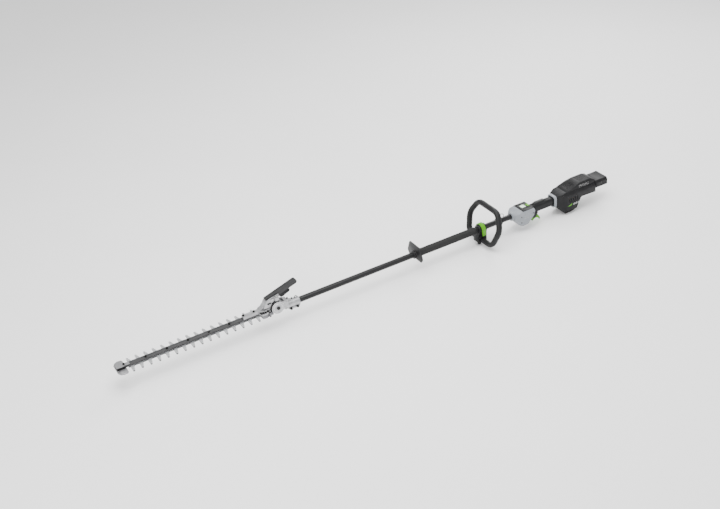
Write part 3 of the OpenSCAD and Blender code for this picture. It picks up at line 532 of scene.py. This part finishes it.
def plate_from(name, outline, low, high, bevel=0.0005):
    """A flat plate: an outline in plan, from one height to another, with its edges eased."""
    mesh = bpy.data.meshes.new(name)
    shape = bmesh.new()
    base = [shape.verts.new((x, y, low)) for x, y in outline]
    face = shape.faces.new(base)
    lifted = bmesh.ops.extrude_face_region(shape, geom=[face])
    bmesh.ops.translate(shape, vec=(0, 0, high - low),
                        verts=[v for v in lifted["geom"] if isinstance(v, bmesh.types.BMVert)])
    bmesh.ops.recalc_face_normals(shape, faces=shape.faces)
    bmesh.ops.bevel(shape, geom=list(shape.edges), offset=bevel, segments=2, affect="EDGES")
    shape.to_mesh(mesh)
    shape.free()
    for polygon in mesh.polygons:
        polygon.use_smooth = True
    mesh.set_sharp_from_angle(angle=math.radians(40))
    return mesh


def rounded_rectangle(x0, x1, y0, y1, radius, steps=5):
    """Points of a rectangle with round corners, in plan."""
    points = []
    for cx, cy, start in ((x1 - radius, y1 - radius, 0), (x0 + radius, y1 - radius, 90),
                          (x0 + radius, y0 + radius, 180), (x1 - radius, y0 + radius, 270)):
        for k in range(steps + 1):
            turn = math.radians(start + 90 * k / steps)
            points.append((cx + radius * math.cos(turn), cy + radius * math.sin(turn)))
    return points


cap_outline = rounded_rectangle(block_high.x - 0.0345, block_high.x - 0.0005, -0.0136, 0.0136, 0.004)
cap = plate_from("tip_cap", cap_outline, block_high.z - 0.0012, block_high.z + 0.0006)
add_piece("tip_cap", cap, "tip_block", (guard_steel,))
tongue_outline = rounded_rectangle(block_low.x, block_low.x + 0.019, -0.0088, 0.0088, 0.003)
tongue = plate_from("tip_tongue", tongue_outline, axis_z + 0.0145, axis_z + 0.0168)
add_piece("tip_tongue", tongue, "tip_block", (guard_steel,))

# ---- Blade bar, bolts and nuts ----
# A dark coated steel bar that the blades slide under. Shoulder bolts hold it, each with a hexagon
# socket in its head.
bar_grey = finish_of("dark_coated_steel", (0.035, 0.035, 0.036), (0.065, 0.065, 0.067), 0.38,
                     patch=0.02, grain=0.001, depth=0.00003, metallic=0.35, stretch=(0.3, 1, 1),
                     shine=0.35, scuffs=0.6)
black_steel = finish_of("blackened_steel", (0.007, 0.007, 0.007), (0.016, 0.016, 0.016), 0.36,
                        patch=0.004, metallic=0.4, shine=0.35)
softened("blade_bar", 0.0008, bar_grey, dark_rim)
dress("bar_bolts", black_steel)
dress("bar_nuts", zinc)
bolt_pitch = 87.5
bar_tops = [at(34, 0, 20.9)]
bar_tops += [at(34 + bolt_pitch * i, 0, 17.4) for i in range(1, 6)]
bar_tops += [at(s, 0, 29.4) for s in (534, 580)]


def socket_heads(name, places, radius, thickness, material):
    """Domed screw heads with a six-sided socket, one at each (point, axis), made by one node tree."""
    # each head stands on the middle of one tiny triangle whose normal is its axis
    verts, faces = [], []
    for point, normal in places:
        side = Vector(normal).orthogonal().normalized() * 1e-4
        other = Vector(normal).cross(side)
        base = Vector(point)
        faces.append((len(verts), len(verts) + 1, len(verts) + 2))
        verts += [base + side, base - side / 2 + other, base - side / 2 - other]
    seats = bpy.data.meshes.new(name)
    seats.from_pydata(verts, [], faces)
    graph, given = sized_tree(name, Points="Geometry", Radius="Float", Thickness="Float")
    head = graph.node("GeometryNodeMeshCone", {"fill_type": "NGON"}, 32, 1, 1,
                      given.out("Radius") * 0.86, given.out("Radius"), given.out("Thickness"))
    key = graph.node("GeometryNodeMeshCylinder", {"fill_type": "NGON"}, 6, 1, 1,
                     given.out("Radius") * 0.5, given.out("Thickness"))
    lift = graph.node("ShaderNodeCombineXYZ", None, 0.0, 0.0, given.out("Thickness") * 0.9)
    raised = graph.node("GeometryNodeTransform", None, key, Translation=lift)
    cut = graph.node("GeometryNodeMeshBoolean", {"operation": "DIFFERENCE"}, head, raised)
    saved = graph.node("GeometryNodeCaptureAttribute", {"domain": "FACE"}, given.out("Points"))
    saved.socket.node.capture_items.new("VECTOR", "Axis")
    normals = graph.node("GeometryNodeInputNormal")
    graph.tree.links.new(normals.socket, saved.socket.node.inputs["Axis"])
    aim = graph.node("FunctionNodeAlignRotationToVector", {"axis": "Z"}, Vector=saved.out("Axis"))
    middles = graph.node("GeometryNodeMeshToPoints", {"mode": "FACES"}, saved)
    spread = graph.node("GeometryNodeInstanceOnPoints", None, middles, Instance=cut, Rotation=aim)
    end_tree(graph, spread, material)
    mesh = grown(name, graph.tree, seats, Radius=radius, Thickness=thickness)
    mesh.set_sharp_from_angle(angle=math.radians(35))
    return mesh


bar_heads = socket_heads("bar_screw_heads", [(place, (0, 0, 1)) for place in bar_tops], 0.0047, 0.0022,
                         black_steel)
add_piece("bar_screw_heads", bar_heads, "bar_bolts")

# ---- Blades ----
# Two steel blades with cut teeth, ground flat on both faces. Their edges are eased by a small chamfer
# and stay darker than the flats.
blade_steel = finish_of("ground_blade_steel", (0.48, 0.49, 0.5), (0.72, 0.73, 0.74), 0.28,
                        patch=0.008, grain=0.0005, depth=0.00002, metallic=0.8, stretch=(4, 0.4, 1))
ground_edge = finish_of("ground_edge", (0.03, 0.03, 0.031), (0.08, 0.08, 0.083), 0.25, patch=0.004,
                        metallic=0.9, stretch=(1, 12, 1))
for node in ("blade_upper", "blade_lower"):
    blade = softened(node, 0.0011, blade_steel, ground_edge, segments=1, smooth_angle=20)
    # the cut edges of the blank are darker than its ground flats
    for face in blade.data.polygons:
        if abs(face.normal.z) < 0.6:
            face.material_index = 1

# ---- Gearbox ----
# Two pressure die-cast aluminium halves, screwed together round the crank, with a blasted skin.
# Both casting finishes paint shade into their corners and recesses, darkened by ambient occlusion.
cast_light = finish_of("light_casting", (0.3, 0.3, 0.31), (0.5, 0.5, 0.51), 0.4, patch=0.015,
                       grain=0.0007, depth=0.00009, metallic=0.75, cavity_shade=1.0)
cast_grey = finish_of("grey_casting", (0.12, 0.12, 0.125), (0.22, 0.22, 0.23), 0.42, patch=0.015,
                      grain=0.0007, depth=0.00009, metallic=0.6, cavity_shade=0.9)
bare_edge = finish_of("bare_casting_edge", (0.62, 0.62, 0.63), (0.8, 0.8, 0.8), 0.28, patch=0.006,
                      metallic=0.9)
softened("gearbox_upper", 0.0012, cast_light, bare_edge, segments=3)
softened("gearbox_lower", 0.0012, cast_grey, bare_edge, segments=3)
dress("gearbox_bolts", black_steel)
case_heads = [(at(632, m * 21, 19), (0, 0, 1)) for m in (-1, 1)]
case_heads += [(at(602 + 9 * i, 29, 19), (0, 1, 0)) for i in range(3)]
add_piece("case_screw_heads", socket_heads("case_screw_heads", case_heads, 0.0029, 0.0012, black_steel),
          "gearbox_bolts")

# ---- Tilt joint ----
# The neck casting clamps the tube and carries the hub, the notched index plate and the round cap.
softened("neck_yoke", 0.0012, cast_light, bare_edge, segments=3)
softened("neck_cover", 0.0007, cast_light, bare_edge)
softened("pivot_cap", 0.0012, cast_light, bare_edge, segments=3)
softened("index_plate", 0.0004, black_steel, dark_rim)
dress("pivot_bolt", black_steel)
dress("neck_bolts", black_steel)
neck_heads = [(at(s, 17, -18), (0, 1, 0)) for s in (736, 765)]
neck_heads += [(at(729, 0, 31.4), (0, 0, 1)), (at(748, 0, 22), (0, 0, 1))]
add_piece("neck_screw_heads", socket_heads("neck_screw_heads", neck_heads, 0.0034, 0.0014, black_steel),
          "neck_bolts")
softened("lever_bracket", 0.0014, cast_light, bare_edge, segments=3)
dress("lock_pin", zinc)

# ---- Head lever ----
# The grip that swings the head, a dark moulding with a black trigger in its underside.
lever_grey = finish_of("dark_grey_moulding", (0.012, 0.012, 0.0125), (0.022, 0.022, 0.023), 0.42,
                       patch=0.02, grain=0.0009, depth=0.00006, shine=0.35, scuffs=0.3)
softened("lever_handle", 0.0035, lever_grey, rubbed_plastic, segments=4)
softened("lock_trigger", 0.0016, black_plastic, rubbed_plastic, segments=3)

# ---- Control housing ----
# Two blue-grey shells screwed together, with a black panel, a pale display and a green power button.
housing_grey = finish_of("blue_grey_moulding", (0.2, 0.215, 0.235), (0.26, 0.275, 0.295), 0.42,
                         patch=0.02, grain=0.0009, depth=0.00006, shine=0.35, scuffs=0.15)
housing_edge = finish_of("rubbed_blue_grey", (0.3, 0.315, 0.335), (0.38, 0.395, 0.415), 0.34,
                         patch=0.01, grain=0.0009, depth=0.00004, shine=0.4)
softened("control_left", 0.0022, housing_grey, housing_edge, segments=3)
softened("control_right", 0.0022, housing_grey, housing_edge, segments=3)
softened("control_panel", 0.0008, black_plastic, rubbed_plastic)
softened("power_button", 0.0011, green_gloss, segments=3)


def display_finish():
    """A pale liquid-crystal window: rows of faint dark cells under a clear cover."""
    material = bpy.data.materials.new("display_window")
    material.use_nodes = True
    graph = Graph(material.node_tree)
    shader = material.node_tree.nodes["Principled BSDF"]
    shader.inputs["Coat Weight"].default_value = 0.8
    shader.inputs["Roughness"].default_value = 0.25
    place = graph.node("ShaderNodeTexCoord").out("Object")
    split = graph.node("ShaderNodeSeparateXYZ", None, place)
    rows = graph.node("ShaderNodeMath", {"operation": "PINGPONG"}, split.out("X"), 0.0021) > 0.0009
    columns = graph.node("ShaderNodeMath", {"operation": "PINGPONG"}, split.out("Y"), 0.0034) > 0.0008
    cells = rows * columns * 0.35
    colour = graph.mix(cells, (0.55, 0.78, 0.5, 1), (0.16, 0.26, 0.16, 1))
    material.node_tree.links.new(colour.socket, shader.inputs["Base Color"])
    return material


def flank_plate(name, outline, face_y, thickness, bevel=0.0002):
    """A thin plate standing on a left flank. Its outline is (s, z) pairs in millimetres."""
    mesh = plate_from(name, [at(s, 0, z)[::2] for s, z in outline], -thickness, 0, bevel)
    mesh.transform(Matrix.Translation((0, face_y - 0.0001, 0)) @ Matrix.Rotation(math.pi / 2, 4, "X"))
    return mesh


def joined(name, meshes):
    """One mesh holding several."""
    shape = bmesh.new()
    for mesh in meshes:
        shape.from_mesh(mesh)
        bpy.data.meshes.remove(mesh)
    whole = bpy.data.meshes.new(name)
    shape.to_mesh(whole)
    shape.free()
    whole.set_sharp_from_angle(angle=math.radians(40))
    return whole


housing_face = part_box("control_left")[1][1]
ridge_outlines = [[(1884 + lean, z), (1924 + lean, z), (1923 + lean, z - 1.6), (1883 + lean, z - 1.6)]
                  for lean, z in ((0, 2), (-2, -3), (-4, -8))]
ridges = [flank_plate("ridge", outline, housing_face, 0.0007) for outline in ridge_outlines]
add_piece("side_ridges", joined("side_ridges", ridges), "control_left",
          (housing_edge,))
panel_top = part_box("control_panel")[1][2]
frame_bars = []
for s0, s1, y0, y1 in ((1919.4, 1921.2, -14, 6), (1896.4, 1897.6, -14, 6),
                       (1898, 1919, 6.4, 7.4), (1898, 1919, -16.4, -15.4)):
    bar_corners = [at(s, y, 0)[:2] for s, y in ((s0, y0), (s1, y0), (s1, y1), (s0, y1))]
    frame_bars.append(plate_from("bar", bar_corners, panel_top - 0.0002, panel_top + 0.0005, 0.0002))
pale_print = finish_of("pale_print", (0.26, 0.27, 0.26), (0.36, 0.37, 0.36), 0.5, patch=0.004)
add_piece("display_frame", joined("display_frame", frame_bars), "control_panel",
          (pale_print,))
dress("display_lens", display_finish())
dress("control_board", board_green)

# ---- Rear handle ----
# Two black shells with a green trigger below and a grey lock lever on top.
dark_plastic = finish_of("dark_moulding", (0.008, 0.008, 0.0085), (0.015, 0.015, 0.016), 0.4,
                         patch=0.03, grain=0.001, depth=0.00007, shine=0.16, scuffs=0.25)
softened("handle_left", 0.003, dark_plastic, segments=3)
softened("handle_right", 0.003, dark_plastic, segments=3)
softened("trigger", 0.0022, green_gloss, segments=3)
softened("lock_off_lever", 0.0014, lever_grey, segments=3)
dress("handle_screws", black_steel)
dress("trigger_switch", switch_red)

# ---- Motor housing ----
# Two black shells with vents, a grey collar round the handle, a hood with a window, ribs and side
# slats, and a rubber foot. A green wedge and three pale bars are printed on the left flank.
rubber = finish_of("moulded_rubber", (0.008, 0.008, 0.008), (0.016, 0.016, 0.016), 0.7, patch=0.01,
                   depth=0.0002)
softened("motor_left", 0.0028, dark_plastic, rubbed_plastic, segments=3)
softened("motor_right", 0.0028, dark_plastic, rubbed_plastic, segments=3)
softened("motor_hood", 0.0016, dark_plastic, rubbed_plastic, segments=3)
softened("front_collar", 0.0022, housing_grey, housing_edge, segments=3)
dress("housing_screws", black_steel)
dress("foot_pad", rubber)
flank_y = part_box("motor_left")[1][1]
wedge = flank_plate("green_wedge", [(2124, -33), (2152, -22), (2146, -33)], flank_y, 0.0004)
add_piece("green_wedge", wedge, "motor_left", (green_gloss,))
bars = [flank_plate("bar", [(s, -24), (s + 8, -24), (s + 4, -33), (s - 4, -33)], flank_y, 0.0004)
        for s in (2160, 2172, 2184)]
add_piece("pale_bars", joined("pale_bars", bars), "motor_left", (pale_print,))
screw_rims = [(at(s, 46, z), (0, 1, 0)) for s, z in ((2176, 13.5), (2240, 8), (2150, -56))]
screw_rims += [(at(2105, 38, 25), (0, 1, 0))]
rim_heads = socket_heads("housing_screw_heads", screw_rims, 0.0028, 0.0005, black_steel)
add_piece("housing_screw_heads", rim_heads, "housing_screws")


def louvres(name, base, step, count, size, lean, material):
    """A bank of sloping vent slats along X, made by one node tree."""
    graph, given = sized_tree(name, Step="Float", Slats="Int", Size="Vector", Lean="Float")
    reach = graph.node("ShaderNodeCombineXYZ", None, given.out("Step"), 0.0, 0.0)
    row = graph.node("GeometryNodeMeshLine", {"mode": "OFFSET"}, Count=given.out("Slats"), Offset=reach)
    slat = graph.node("GeometryNodeMeshCube", None, given.out("Size"))
    tilt = graph.node("ShaderNodeCombineXYZ", None, 0.0, given.out("Lean"), 0.0)
    tipped = graph.node("GeometryNodeTransform", None, slat, Rotation=tilt)
    spread = graph.node("GeometryNodeInstanceOnPoints", None, row, Instance=tipped)
    end_tree(graph, spread, material)
    mesh = grown(name, graph.tree, bpy.data.meshes.new(name), Step=step, Slats=count, Size=size,
                 Lean=lean)
    shape = bmesh.new()
    shape.from_mesh(mesh)
    bmesh.ops.bevel(shape, geom=list(shape.edges), offset=0.0002, segments=1, affect="EDGES")
    shape.to_mesh(mesh)
    shape.free()
    mesh.transform(Matrix.Translation(base))
    return mesh


for side, word in ((1, "left"), (-1, "right")):
    slats = louvres("hood_slats_" + word, at(2198, side * 35.1, 44), -0.0052, 11,
                    (0.0022, 0.0012, 0.0135), 0.35, dark_plastic)
    add_piece("hood_slats_" + word, slats, "motor_hood")

# ---- Battery dock ----
# The open rear end that a battery slides into, with contact blades and an eject button.
softened("battery_dock", 0.0016, black_plastic, rubbed_plastic, segments=2)
dress("dock_terminals", bronze)
softened("eject_button", 0.0008, lever_grey)
